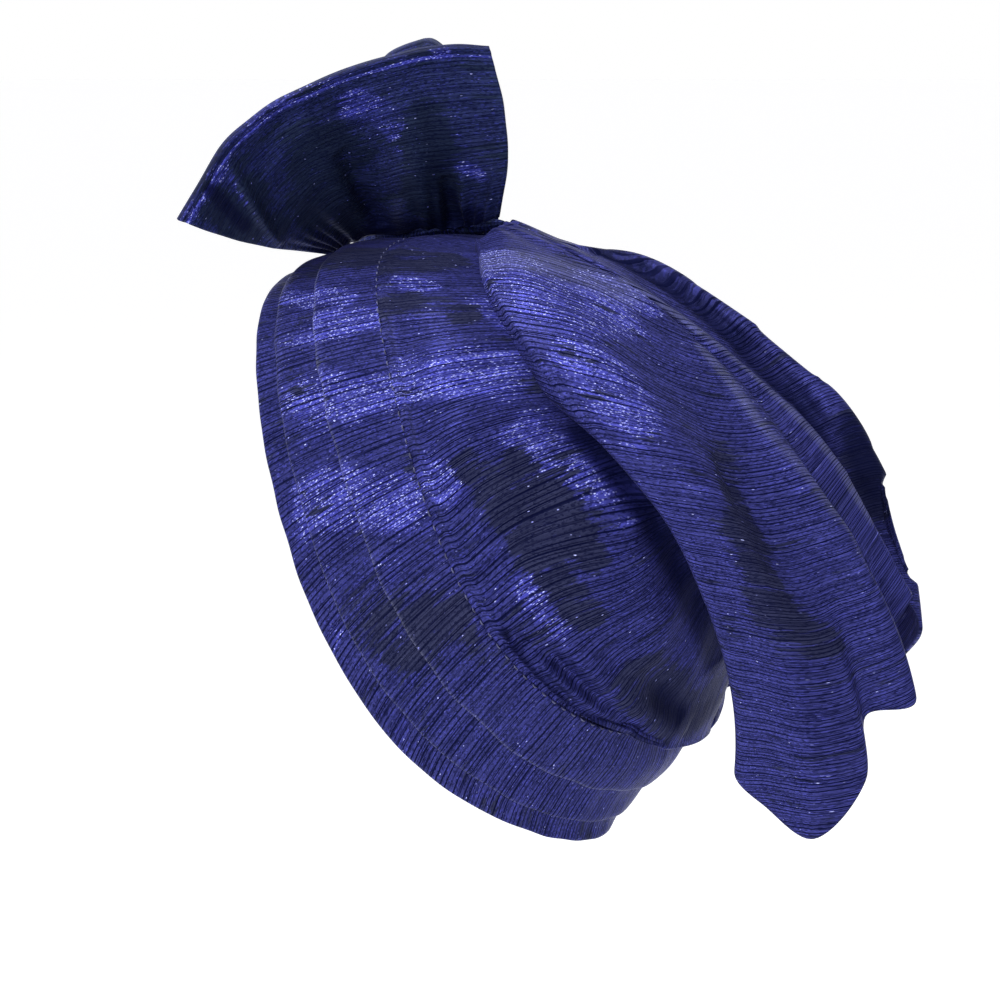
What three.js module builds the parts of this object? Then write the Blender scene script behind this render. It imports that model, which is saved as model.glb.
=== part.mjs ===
import * as THREE from 'three';

// A turban cap, in millimetres, +Z up. The wearer faces -Y and the wearer's left is +X.
// The tables are measured from the middle of the head. The whole is moved at the end so that
// the origin is the inner top of the crown, where a head touches it.

const TAU = Math.PI * 2;
const AROUND = 52;
const SEAT = { y: -4, z: 88 };

// One row per loop round the head, front to back: the pleat edges, the seam, then the crown.
// top and nape are [y, z] where the loop crosses the middle plane and width is half its width.
// side and turn shift its sides along the axis of the cap, egg narrows it towards the nape.
const LOOPS = [
  { name: 'rim', top: [-76.8, 74.6], nape: [37.6, -112.9], width: 76, side: 11.1, turn: -22, egg: 0.19 },
  { name: 'foldOne', top: [-69.1, 79.4], nape: [43, -105.6], width: 79, side: 7.4, turn: -19.3, egg: 0.12 },
  { name: 'foldTwo', top: [-55.8, 84.4], nape: [53.8, -94.3], width: 81.5, side: 0.4, turn: -17, egg: 0.07 },
  { name: 'seam', top: [-34, 88.3], nape: [71, -78.3], width: 82.5, side: -4.7, turn: -16.7, egg: 0 },
  { name: 'roll', top: [-22, 89.5], nape: [75, -76.5], width: 83, side: -5, turn: -15, egg: 0.1 },
  { name: 'swell', top: [-2, 88], nape: [83, -58], width: 78.5, side: -4, turn: -12, egg: 0.15 },
  { name: 'crest', top: [22, 83], nape: [94, -37], width: 63.5, side: -3, turn: -8, egg: 0.02 },
  { name: 'rear', top: [48, 72], nape: [100, -15], width: 49, side: -2, turn: -5, egg: -0.04 },
  { name: 'close', top: [69, 57], nape: [99, 5], width: 31, side: -1, turn: -2, egg: -0.08 },
  { name: 'apex', top: [87, 33], nape: [87, 33], width: 0, side: 0, turn: 0, egg: 0 },
];
const SEAM_ROW = 3;
const APEX_ROW = LOOPS.length - 1;

// One row per pleat tier: the loop it starts at, how far it runs under the next one (in loop
// steps), the offset of its outer face at the rear, and the puff of its folded edge.
const TIERS = [
  { name: 'tier_front', start: 0, tuck: 0.22, rear: -1.0, puff: 1.0 },
  { name: 'tier_middle', start: 1, tuck: 0.16, rear: -1.0, puff: 1.1 },
  { name: 'tier_rear', start: 2, tuck: 0.02, rear: 0.0, puff: 1.2 },
];
const TIER_STEPS = [0.05, 0.2, 0.5, 0.8];
const TIER_WALL = 1.4;
const TIER_NOSE = 0.1;
const TIER_LIP = -0.5;

// The crown tucks under the rear tier at the seam, then rolls out over it.
const CROWN_OUTER_ROWS = [2.88, 3.04, 3.16, 3.4, 3.8, 4.3, 4.8, 5.5, 6.2, 7, 7.8, 8.5];
const CROWN_INNER_ROWS = [2.88, 3.15, 3.6, 4.2, 4.8, 5.5, 6.4, 7.4, 8.3];
const CROWN_WALL = 1.4;
const CROWN_TUCK = { depth: 1.95, from: SEAM_ROW + 0.04, to: SEAM_ROW + 0.3 };
const CROWN_ROLL = { row: 3.6, spread: 0.3, height: 0.8 };
const CROWN_CREASE = { row: 4.25, spread: 0.35, depth: 1.8 };

// One row per lengthwise fold line of the drape, wearer's left to right. The angle in the middle
// plane runs from DRAPE_START degrees at the knot to the row's own angle at the hem. across is
// the distance to the wearer's left and reach the distance from the drape's centre, both given
// at the knot, the shoulder, the top, the back, the nape and the hem.
const DRAPE_CENTRE = { y: 0, z: -5 };
const DRAPE_START = 88;
const DRAPE_STOPS = [0, 0.12, 0.27, 0.5, 0.75, 1];
const DRAPE = [
  { name: 'edgeLeft', to: -33, across: [21, 46, 57.5, 57.5, 41, 24], reach: [91.8, 84, 76.7, 79, 97, 126] },
  { name: 'ridgeLeft', to: -33.5, across: [20, 45.5, 57, 56.5, 46, 31], reach: [94, 86.4, 80, 82.8, 101, 133.5] },
  { name: 'cornerLeft', to: -35, across: [18, 40, 51, 51, 43, 29], reach: [94.7, 89.5, 86, 91, 111, 146] },
  { name: 'lobeLeft', to: -35, across: [15, 32, 42, 44, 38, 26], reach: [95.5, 92.5, 91, 97, 122, 164.5] },
  { name: 'hollowLeft', to: -25, across: [11, 22, 29, 28, 25, 16], reach: [97, 94.8, 94, 98, 117, 166] },
  { name: 'notch', to: -21, across: [8, 15, 20, 18, 18, 11], reach: [98, 96, 96, 101, 120, 156] },
  { name: 'ridgeBack', to: -17.5, across: [6, 11, 14, 9, 12, 5], reach: [99, 97, 98, 104, 126, 166.5] },
  { name: 'valleyBack', to: -12, across: [4, 8, 12, 5, 3, -3], reach: [100, 97, 96.5, 101, 119, 152] },
  { name: 'ridgeTop', to: -7, across: [2, 5, 11, 3, -5.5, -9], reach: [101, 97.3, 98.3, 103, 121, 153] },
  { name: 'valleyTop', to: -7, across: [0, 1, -1, -7, -15, -18], reach: [101.5, 96.5, 97.5, 104, 119, 143] },
  { name: 'ridgeFar', to: -12, across: [-3, -4, -10, -16, -25, -28], reach: [102, 96, 101, 111, 131, 150] },
  { name: 'lobeRight', to: -18, across: [-10, -22, -32, -40, -43, -42], reach: [97, 92.5, 92.5, 98, 117, 140] },
  { name: 'ridgeRight', to: -26, across: [-19, -44, -57, -57, -50, -44], reach: [94.5, 87.3, 81, 84, 100, 128] },
  { name: 'edgeRight', to: -27, across: [-20, -45, -57, -58, -47, -37], reach: [92.5, 84.5, 77.5, 80, 95, 120] },
];
const DRAPE_WALL = 1.4;
const DRAPE_ACROSS = 3 * (DRAPE.length - 1);
const DRAPE_ALONG = 22;

// One row per fold of a bow fan, front to back: base is [x, y, z] where it leaves the gathered
// base, hem where it reaches the hem, and belly and sag say how far its middle swells out from
// and hangs below the line between them.
const FAN_LEFT = [
  { name: 'low', base: [-12, -76, 81], hem: [60, -90, 96], belly: 1, sag: 2.5 },
  { name: 'corner', base: [-11, -70, 83.6], hem: [57, -74, 123], belly: 4, sag: 1 },
  { name: 'front', base: [-9, -60, 87.6], hem: [46, -60, 135.5], belly: 7, sag: 0 },
  { name: 'valley', base: [-12, -50, 88.6], hem: [32, -44, 144.5], belly: 1, sag: 0 },
  { name: 'middle', base: [-8, -36, 90.4], hem: [21, -26.5, 151], belly: 8, sag: 0 },
  { name: 'dip', base: [-12, -24, 91], hem: [13, -13.5, 153.8], belly: 2, sag: 0 },
  { name: 'rear', base: [-6, -5, 95.5], hem: [5, -1.2, 153.5], belly: 5, sag: 0 },
];
const FAN_RIGHT = [
  { name: 'low', base: [-22, -72, 79.6], hem: [-62, -100, 98], belly: 1, sag: 2.5 },
  { name: 'corner', base: [-23, -66, 82.5], hem: [-58, -90, 124], belly: 4, sag: 1 },
  { name: 'front', base: [-26, -57, 83.8], hem: [-48, -80, 139], belly: 7, sag: 0 },
  { name: 'valley', base: [-22, -48, 85.7], hem: [-36, -68, 147.5], belly: 2, sag: 0 },
  { name: 'middle', base: [-26, -36, 86.6], hem: [-28, -52, 151.5], belly: 7, sag: 0 },
  { name: 'dip', base: [-22, -26, 88], hem: [-22, -40, 154.5], belly: 3, sag: 0 },
  { name: 'rear', base: [-24, -15, 88.2], hem: [-18, -30, 150], belly: 5, sag: 0 },
];
const FAN_WALL = 1.5;
const FAN_ACROSS = 4 * (FAN_LEFT.length - 1);
const FAN_ALONG = 9;
const FAN_SWELL = { outward: 0.75, back: 0.5, reach: 1.15, bias: 0.8 };
const FAN_REAR_BULGE = 5;

// The knot: a gathered roll along the middle plane that the fans spring from.
const KNOT = { x: -17, front: [-63, 87.8], back: [-8, 93], radius: 2.8, blunt: 0.05, tip: 1 };
const KNOT_STEPS = 14;
const KNOT_SIDES = 12;

const CLOTH = { blue: 0x23207e, deep: 0x1d1a66, roughness: 0.55, metalness: 0.25 };

const vec = (x, y, z) => new THREE.Vector3(x, y, z);
const mix = (a, b, k) => a + (b - a) * k;
const rise = (low, high, v) => THREE.MathUtils.smoothstep(v, low, high);
const bump = (v, centre, spread) => Math.exp(-(((v - centre) / spread) ** 2));

// Smooth curve through values at the given stops, evenly spaced ones if there are none.
function through(values, place, stops = values.map((_, i) => i)) {
  const last = values.length - 1;
  let n = 0;
  while (n < last - 1 && place >= stops[n + 1]) n += 1;
  const slope = (i) => {
    const before = Math.max(i - 1, 0);
    const after = Math.min(i + 1, last);
    return (values[after] - values[before]) / (stops[after] - stops[before]);
  };
  const step = stops[n + 1] - stops[n];
  const k = (place - stops[n]) / step;
  const bend = slope(n) * step * (k ** 3 - 2 * k ** 2 + k) + slope(n + 1) * step * (k ** 3 - k ** 2);
  return mix(values[n], values[n + 1], 3 * k ** 2 - 2 * k ** 3) + bend;
}

// A point of one loop at the angle t, nought at the top front.
function loopPoint(row, t) {
  const upY = (row.top[0] - row.nape[0]) / 2;
  const upZ = (row.top[1] - row.nape[1]) / 2;
  const length = Math.hypot(upY, upZ) || 1;
  const s = Math.sin(t);
  const c = Math.cos(t);
  const shift = -(row.side + row.turn * c) * s * s;
  const y = (row.top[0] + row.nape[0]) / 2 + upY * c + (upZ / length) * shift;
  const z = (row.top[1] + row.nape[1]) / 2 + upZ * c - (upY / length) * shift;
  return vec(row.width * s * (1 + row.egg * c), y, z);
}

// The smooth surface through all loops, place counted in loop rows.
function capSurface(t, place) {
  const i = Math.min(Math.max(Math.floor(place), 0), APEX_ROW - 1);
  const rows = [i - 1, i, i + 1, i + 2].map((n) => {
    if (n < 0) return loopPoint(LOOPS[0], t).multiplyScalar(2).sub(loopPoint(LOOPS[1], t));
    if (n > APEX_ROW) return loopPoint(LOOPS[2 * APEX_ROW - n], t + Math.PI);
    return loopPoint(LOOPS[n], t);
  });
  const at = (axis) => through(rows.map((p) => p[axis]), 1 + place - i);
  return vec(at('x'), at('y'), at('z'));
}

function capNormal(t, place) {
  const d = 0.02;
  const alongT = capSurface(t + d, place).sub(capSurface(t - d, place));
  const alongS = capSurface(t, place + d).sub(capSurface(t, place - d));
  return alongT.cross(alongS).normalize();
}

function offCap(t, place, offset) {
  return capSurface(t, place).addScaledVector(capNormal(t, place), offset);
}

// Joins points into a closed body, turns it outward and moves it to the seat.
function bodyFrom(points, faces) {
  const positions = new Float32Array(points.length * 3);
  points.forEach((p, i) => positions.set([p.x, p.y - SEAT.y, p.z - SEAT.z], i * 3));
  let volume = 0;
  faces.forEach(([a, b, c]) => {
    volume += points[a].dot(points[b].clone().cross(points[c]));
  });
  const index = faces.flatMap(([a, b, c]) => (volume > 0 ? [a, b, c] : [a, c, b]));
  const geometry = new THREE.BufferGeometry();
  geometry.setAttribute('position', new THREE.BufferAttribute(positions, 3));
  geometry.setIndex(index);
  geometry.computeVertexNormals();
  return geometry;
}

const quad = (faces, a, b, c, d) => faces.push([a, b, c], [a, c, d]);

// A ring: a closed section carried round the head.
function ringBody(sectionAt, count) {
  const sections = Array.from({ length: count }, (_, i) => sectionAt((i / count) * TAU));
  const size = sections[0].length;
  const faces = [];
  for (let i = 0; i < count; i += 1) {
    const next = (i + 1) % count;
    for (let j = 0; j < size; j += 1) {
      const k = (j + 1) % size;
      quad(faces, i * size + j, i * size + k, next * size + k, next * size + j);
    }
  }
  return bodyFrom(sections.flat(), faces);
}

// A sheet with thickness: two grids of points joined along their borders.
function sheetBody(outer, inner) {
  const rows = outer.length;
  const cols = outer[0].length;
  const faces = [];
  const top = (i, j) => i * cols + j;
  const under = (i, j) => rows * cols + i * cols + j;
  for (let i = 0; i < rows - 1; i += 1) {
    for (let j = 0; j < cols - 1; j += 1) {
      quad(faces, top(i, j), top(i + 1, j), top(i + 1, j + 1), top(i, j + 1));
      quad(faces, under(i, j), under(i, j + 1), under(i + 1, j + 1), under(i + 1, j));
    }
  }
  for (let i = 0; i < rows - 1; i += 1) {
    quad(faces, top(i, 0), under(i, 0), under(i + 1, 0), top(i + 1, 0));
    quad(faces, top(i, cols - 1), top(i + 1, cols - 1), under(i + 1, cols - 1), under(i, cols - 1));
  }
  for (let j = 0; j < cols - 1; j += 1) {
    quad(faces, top(0, j), top(0, j + 1), under(0, j + 1), under(0, j));
    quad(faces, top(rows - 1, j), under(rows - 1, j), under(rows - 1, j + 1), top(rows - 1, j + 1));
  }
  return bodyFrom([...outer.flat(), ...inner.flat()], faces);
}

function gridOf(pointAt, along, across) {
  const line = (v) => Array.from({ length: across + 1 }, (_, j) => pointAt(j / across, v));
  return Array.from({ length: along + 1 }, (_, i) => line(i / along));
}

// The grid moved by the wall thickness along its own normals.
function thickened(grid, wall) {
  const lastRow = grid.length - 1;
  const lastCol = grid[0].length - 1;
  return grid.map((line, i) => line.map((p, j) => {
    const alongRow = line[Math.min(j + 1, lastCol)].clone().sub(line[Math.max(j - 1, 0)]);
    const alongCol = grid[Math.min(i + 1, lastRow)][j].clone().sub(grid[Math.max(i - 1, 0)][j]);
    return p.clone().addScaledVector(alongRow.cross(alongCol).normalize(), wall);
  }));
}

// Pleat tiers: each folded front edge stands proud, most at the top, and each rear edge runs
// under the next tier.
function tierSection(tier, t) {
  const puff = tier.puff * (0.8 + 0.9 * Math.max(0, Math.cos(t)) ** 2);
  const outerOffset = (s) => mix(puff, tier.rear, rise(0.1, 1, s));
  const innerOffset = (s) => mix(TIER_LIP, tier.rear - TIER_WALL, rise(0.1, 1, s));
  const steps = [...TIER_STEPS, 1 + tier.tuck];
  const outer = steps.map((s) => offCap(t, tier.start + s, outerOffset(s)));
  const inner = steps.map((s) => offCap(t, tier.start + s, innerOffset(s))).reverse();
  return [offCap(t, tier.start, TIER_NOSE), ...outer, ...inner];
}

const makeTier = (tier) => ringBody((t) => tierSection(tier, t), AROUND);

// Folds of the crown: a roll over the seam low at the back and a crease behind it.
function crownRelief(t, place) {
  const fromFront = Math.min(t, TAU - t);
  const low = rise(1.6, 2.5, fromFront);
  const beside = low * (1 - rise(2.7, 3.2, fromFront));
  const roll = CROWN_ROLL.height * bump(place, CROWN_ROLL.row, CROWN_ROLL.spread) * low;
  return roll - CROWN_CREASE.depth * bump(place, CROWN_CREASE.row, CROWN_CREASE.spread) * beside;
}

function crownOffset(t, place) {
  const tucked = 1 - rise(CROWN_TUCK.from, CROWN_TUCK.to, place);
  return crownRelief(t, place) - CROWN_TUCK.depth * tucked;
}

function makeCrown() {
  const points = [];
  const faces = [];
  const ringAt = (place, offset) => {
    for (let i = 0; i < AROUND; i += 1) {
      const t = (i / AROUND) * TAU;
      points.push(offCap(t, place, crownOffset(t, place) + offset));
    }
    return points.length - AROUND;
  };
  const eachStep = (act) => {
    for (let i = 0; i < AROUND; i += 1) act(i, (i + 1) % AROUND);
  };
  const joinRings = (a, b) => eachStep((i, n) => quad(faces, a + i, b + i, b + n, a + n));
  const outer = CROWN_OUTER_ROWS.map((place) => ringAt(place, 0));
  const inner = CROWN_INNER_ROWS.map((place) => ringAt(place, -CROWN_WALL)).reverse();
  const tip = capSurface(0, APEX_ROW);
  const besideTip = APEX_ROW - 0.4;
  const outward = capNormal(0, besideTip).add(capNormal(Math.PI, besideTip)).normalize();
  const outerTip = points.push(tip) - 1;
  const innerTip = points.push(tip.clone().addScaledVector(outward, -CROWN_WALL)) - 1;
  outer.slice(1).forEach((ring, i) => joinRings(outer[i], ring));
  inner.slice(1).forEach((ring, i) => joinRings(inner[i], ring));
  eachStep((i, n) => faces.push([outer[outer.length - 1] + i, outerTip, outer[outer.length - 1] + n]));
  eachStep((i, n) => faces.push([inner[0] + n, innerTip, inner[0] + i]));
  joinRings(inner[inner.length - 1], outer[0]);
  return bodyFrom(points, faces);
}

// Drape: a cloth laid from the knot over the crown, folded lengthwise and hanging free.
function drapePoint(u, v) {
  const row = u * (DRAPE.length - 1);
  const across = through(DRAPE.map((line) => through(line.across, v, DRAPE_STOPS)), row);
  const reach = through(DRAPE.map((line) => through(line.reach, v, DRAPE_STOPS)), row);
  const end = through(DRAPE.map((line) => line.to), row);
  const angle = THREE.MathUtils.degToRad(mix(DRAPE_START, end, v));
  return vec(across, DRAPE_CENTRE.y + reach * Math.cos(angle), DRAPE_CENTRE.z + reach * Math.sin(angle));
}

function makeDrape() {
  const outer = gridOf(drapePoint, DRAPE_ALONG, DRAPE_ACROSS);
  return sheetBody(outer, thickened(outer, DRAPE_WALL));
}

// Bow fans: gathered at the knot and spread to a hem, swollen between the two. side is 1 for
// the wearer's left and -1 for the right.
function fanPoint(rows, side, u, v) {
  const row = u * (rows.length - 1);
  const at = (pick) => through(rows.map(pick), row);
  const along = (axis) => mix(at((line) => line.base[axis]), at((line) => line.hem[axis]), v);
  const swell = Math.sin(Math.PI * Math.min(1, v * FAN_SWELL.reach) ** FAN_SWELL.bias);
  const belly = at((line) => line.belly) * swell;
  const arch = Math.sin(Math.PI * v);
  const rearBulge = FAN_REAR_BULGE * rise(0.75, 1, u) * arch;
  const x = along(0) + side * belly * FAN_SWELL.outward;
  const y = along(1) + side * belly * FAN_SWELL.back + rearBulge;
  return vec(x, y, along(2) - at((line) => line.sag) * arch);
}

function makeFan(rows, side) {
  const outer = gridOf((u, v) => fanPoint(rows, side, u, v), FAN_ALONG, FAN_ACROSS);
  return sheetBody(outer, thickened(outer, FAN_WALL * side));
}

function makeKnot() {
  const points = [];
  const faces = [];
  for (let i = 0; i <= KNOT_STEPS; i += 1) {
    const k = i / KNOT_STEPS;
    const radius = KNOT.radius * Math.sqrt(Math.max(KNOT.blunt, 1 - (2 * k - 1) ** 4));
    const y = mix(KNOT.front[0], KNOT.back[0], k);
    const z = mix(KNOT.front[1], KNOT.back[1], k);
    for (let j = 0; j < KNOT_SIDES; j += 1) {
      const a = (j / KNOT_SIDES) * TAU;
      points.push(vec(KNOT.x + radius * Math.cos(a), y, z + radius * Math.sin(a)));
    }
  }
  const lastRing = KNOT_STEPS * KNOT_SIDES;
  const frontTip = points.push(vec(KNOT.x, KNOT.front[0] - KNOT.tip, KNOT.front[1])) - 1;
  const backTip = points.push(vec(KNOT.x, KNOT.back[0] + KNOT.tip, KNOT.back[1])) - 1;
  for (let j = 0; j < KNOT_SIDES; j += 1) {
    const n = (j + 1) % KNOT_SIDES;
    for (let ring = 0; ring < lastRing; ring += KNOT_SIDES) {
      quad(faces, ring + j, ring + n, ring + KNOT_SIDES + n, ring + KNOT_SIDES + j);
    }
    faces.push([frontTip, n, j], [backTip, lastRing + j, lastRing + n]);
  }
  return bodyFrom(points, faces);
}

function clothMesh(name, geometry, colour) {
  const material = new THREE.MeshStandardMaterial({
    color: colour,
    roughness: CLOTH.roughness,
    metalness: CLOTH.metalness,
  });
  const mesh = new THREE.Mesh(geometry, material);
  mesh.name = name;
  return mesh;
}

const cap = new THREE.Group();
cap.name = 'turban_cap';
TIERS.forEach((tier) => cap.add(clothMesh(tier.name, makeTier(tier), CLOTH.blue)));
cap.add(clothMesh('crown', makeCrown(), CLOTH.blue));
cap.add(clothMesh('drape', makeDrape(), CLOTH.blue));
cap.add(clothMesh('bow_left', makeFan(FAN_LEFT, 1), CLOTH.blue));
cap.add(clothMesh('bow_right', makeFan(FAN_RIGHT, -1), CLOTH.blue));
cap.add(clothMesh('knot', makeKnot(), CLOTH.deep));

export default cap;
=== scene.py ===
import math

import bpy
import numpy as np
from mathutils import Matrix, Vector


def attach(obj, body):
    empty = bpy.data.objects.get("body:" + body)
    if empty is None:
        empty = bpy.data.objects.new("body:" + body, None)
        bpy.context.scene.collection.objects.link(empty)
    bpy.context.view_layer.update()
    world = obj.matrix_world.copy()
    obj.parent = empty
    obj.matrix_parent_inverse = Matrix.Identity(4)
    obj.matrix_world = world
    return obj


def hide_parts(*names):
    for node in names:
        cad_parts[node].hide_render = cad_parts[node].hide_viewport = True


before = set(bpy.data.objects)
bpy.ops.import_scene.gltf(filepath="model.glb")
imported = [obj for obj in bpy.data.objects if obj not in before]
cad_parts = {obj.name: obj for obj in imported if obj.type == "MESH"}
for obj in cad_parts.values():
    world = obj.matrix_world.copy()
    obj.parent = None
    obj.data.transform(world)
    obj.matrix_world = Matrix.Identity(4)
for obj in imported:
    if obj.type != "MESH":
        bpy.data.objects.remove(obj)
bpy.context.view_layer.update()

# A pre-tied turban cap: three pleat tiers, a crown, a bow and a draped tail, all of one striped
# cloth with metallic thread. Tables are in millimetres from the middle of the hollow, with the
# wearer facing -Y, and to_metres() turns them into metres from the seat of the cap.
TAU = 2 * math.pi
MM = 0.001
SEAT = np.array([0.0, -4.0, 88.0])

# One row per loop round the hollow: the top and nape points [y, z], half the width, and how the
# sides shift, turn and narrow.
LOOPS = np.array([
    # top y, top z, nape y, nape z, width, side, turn, egg
    [-76.8, 74.6, 37.6, -112.9, 76, 11.1, -22, 0.19],
    [-69.1, 79.4, 43, -105.6, 79, 7.4, -19.3, 0.12],
    [-55.8, 84.4, 53.8, -94.3, 81.5, 0.4, -17, 0.07],
    [-34, 88.3, 71, -78.3, 82.5, -4.7, -16.7, 0],
    [-22, 89.5, 75, -76.5, 83, -5, -15, 0.1],
    [-2, 88, 83, -58, 78.5, -4, -12, 0.15],
    [22, 83, 94, -37, 63.5, -3, -8, 0.02],
    [48, 72, 100, -15, 49, -2, -5, -0.04],
    [69, 57, 99, 5, 31, -1, -2, -0.08],
    [87, 33, 87, 33, 0, 0, 0, 0],
])
APEX_ROW = len(LOOPS) - 1
# Middle radius of the loops, by which an angle round the cap becomes a length of cloth.
LOOP_RADIUS = 88

# Pleat tiers: first loop, how far the folded edge stands back at the sides, run under the next
# tier, rear offset and puff of the folded edge.
TIERS = [
    {"name": "tier_front", "start": 0, "inset": 0.065, "tuck": 0.22, "rear": -1.0, "puff": 1.0},
    {"name": "tier_middle", "start": 1, "inset": 0, "tuck": 0.16, "rear": -1.0, "puff": 1.1},
    {"name": "tier_rear", "start": 2, "inset": 0, "tuck": 0.02, "rear": 0.0, "puff": 1.2},
]
TIER_WALL = 1.4
# The inner lip of the folded edge, the share of a tier that rounds it, and its puff at the sides
# with what is added at the front.
TIER_LIP = -0.5
TIER_ROUND = 0.13
TIER_PUFF = {"sides": 0.8, "middle": 0.9}
# Run past the start of the next tier, in loop rows.
TIER_OVERLAP = 0.03
# The painted sheen line on the folded edge, in loop rows.
TIER_SHEEN_LINE = {"place": 0.02, "width": 0.025}
# Cloth between one folded edge and the next, and the shift of the stripes there, in metres.
TIER_SPACING = 0.014
TIER_SHIFT = 0.4
# Steps along and round a tier, and the power that crowds them towards the folded edge.
TIER_STEPS = 22
TIER_AROUND = 560
TIER_CROWDING = 1.6

# Ends of the crown in loop rows, its wall, its steps and the power that crowds them.
CROWN_FIRST = 2.88
CROWN_LAST = 8.985
CROWN_WALL = 1.3
CROWN_ALONG = 110
CROWN_AROUND = 440
CROWN_CROWDING = 1.3
# The front of the crown is tucked under the rear tier.
CROWN_TUCK = {"depth": 1.95, "from": 2.97, "to": 3.05}
# The cloth is drawn in at the nape: how deep, at which angle and loop row, and how far it reaches
# round and along.
NECK = {"depth": 9, "turn": 3.35, "spread": 0.55, "place": 3.02, "reach": 0.35}
# Waves of the crown behind the seam: height, and middle and spread in loop rows.
CROWN_WAVES = {
    "roll": {"height": 0.8, "place": 3.6, "spread": 0.3},
    "crease": {"height": -1.8, "place": 4.25, "spread": 0.35},
    "pucker": {"height": 0.35, "place": 3.2, "spread": 0.22},
}
# How many puckers go round the seam, and how unevenly they are spaced.
PUCKERS = {"count": 78, "uneven": 2, "drift": 11}
# Places in loop rows between which the softness of the crown sets in.
CROWN_SOFT = (3.3, 4.2)

# Ranges of the angle round the cap, from the middle of the front, over which something sets in
# or fades.
AROUND = {
    "front": (0, 0.6),
    "inset_end": (1.7, 2.2),
    "tier_lean": (1.1, 1.9),
    "low_side": (1.6, 2.5),
    "crease_end": (2.7, 3.2),
    "bend_start": (1.5, 2.3),
    "near_start": (1.1, 1.8),
    "nape": (2.6, math.pi),
}
# How far the stripes of the tiers lean off the square, high and low on the side.
TIER_LEAN = {"high": 0.08, "low": -0.1}
# How the stripes of the crown leave the seam square and then bend level, most at the low side.
STRIPE_BEND = {"steady": -0.1, "low": 0.6, "near": -0.4, "after": 0.012}
# Where the crown's stripes start on the flat cloth, in metres.
CROWN_CLOTH_START = 0.05

# Soft unevenness of each cloth: height, waves one way and the other, and seed.
SOFTNESS = {
    "tier_edge": {"height": 0.02, "waves": (5, 0), "seed": 20},
    "tier": {"height": 0.18, "waves": (6, 0.6), "seed": 30},
    "crown": {"height": 0.5, "waves": (3, 0.5), "seed": 7},
    "drape": {"height": 0.4, "waves": (5, 3), "seed": 31},
    "fan": {"height": 0.3, "waves": (6, 3), "seed": 50},
}

# The drape goes round this centre, from its first angle to that of each fold at the hem.
DRAPE_CENTRE = {"y": 0, "z": -5}
DRAPE_START = 88
DRAPE_STOPS = [0, 0.12, 0.27, 0.5, 0.75, 1]
# One row per lengthwise fold line of the drape, wearer's left to right: its angle at the hem,
# then its distance to the wearer's left and its reach from the centre at each stop.
DRAPE = [
    {"to": -33, "across": [21, 46, 57.5, 57.5, 41, 24], "reach": [91.8, 84, 76.7, 79, 97, 126]},
    {"to": -35, "across": [20, 45.5, 57, 56.5, 46, 31], "reach": [94, 86.4, 80, 82.8, 101, 133]},
    {"to": -35.6, "across": [18, 40, 51, 51, 43, 29], "reach": [94.7, 89.5, 86, 91, 111, 145.3]},
    {"to": -35, "across": [15, 32, 42, 44, 38, 26], "reach": [95.5, 92.5, 91, 97, 122, 165.2]},
    {"to": -27, "across": [11, 22, 29, 28, 25, 16], "reach": [97, 94.8, 94, 98, 117, 167]},
    {"to": -21, "across": [8, 15, 20, 18, 18, 11], "reach": [98, 96, 96, 101, 120, 156]},
    {"to": -17.5, "across": [6, 11, 14, 9, 12, 5], "reach": [99, 97, 98, 104, 126, 168.6]},
    {"to": -12, "across": [4, 8, 12, 5, 3, -3], "reach": [98.8, 96.7, 96.5, 101, 119, 152]},
    {"to": -7, "across": [2, 5, 11, 3, -5.5, -9], "reach": [99.6, 96.9, 98.3, 103, 121, 153]},
    {"to": -7, "across": [0, 1, -1, -7, -15, -18], "reach": [100, 96.2, 97.5, 104, 119, 143]},
    {"to": -12, "across": [-3, -4, -10, -16, -25, -28], "reach": [100.6, 95.8, 101, 111, 131, 150]},
    {"to": -18, "across": [-10, -22, -32, -40, -43, -42], "reach": [97, 92.5, 92.5, 98, 117, 140]},
    {"to": -26, "across": [-19, -44, -57, -57, -50, -44], "reach": [94.5, 87.3, 81, 84, 100, 128]},
    {"to": -27, "across": [-20, -45, -57, -58, -47, -37], "reach": [92.5, 84.5, 77.5, 80, 95, 120]},
]
DRAPE_WALL = 1.2
DRAPE_ACROSS = 170
DRAPE_ALONG = 220
# The side edges roll under: wide and shallow where they lie on the crown, tight where they
# hang free.
DRAPE_ROLL = {"laid": [7.5, 64], "free": [1.9, 200], "from": 0.3, "to": 0.58, "steps": 12,
              "lean": 1.3}
# How steeply the stripes cross the drape at its stops, the column they are measured from and
# how far from it they level out, in metres.
DRAPE_LEAN = [0.4, 0.6, 0.85, 1.05, 0.7, 0.2]
DRAPE_LEAN_FROM = 0.2
DRAPE_LEAN_REACH = 0.055
DRAPE_LEAN_EASE = 0.02
# The painted sheen line along the side edge, in columns, and where it sets in down the tail.
DRAPE_SHEEN_LINE = {"width": 3, "from": 0.5, "to": 0.75}

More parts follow.
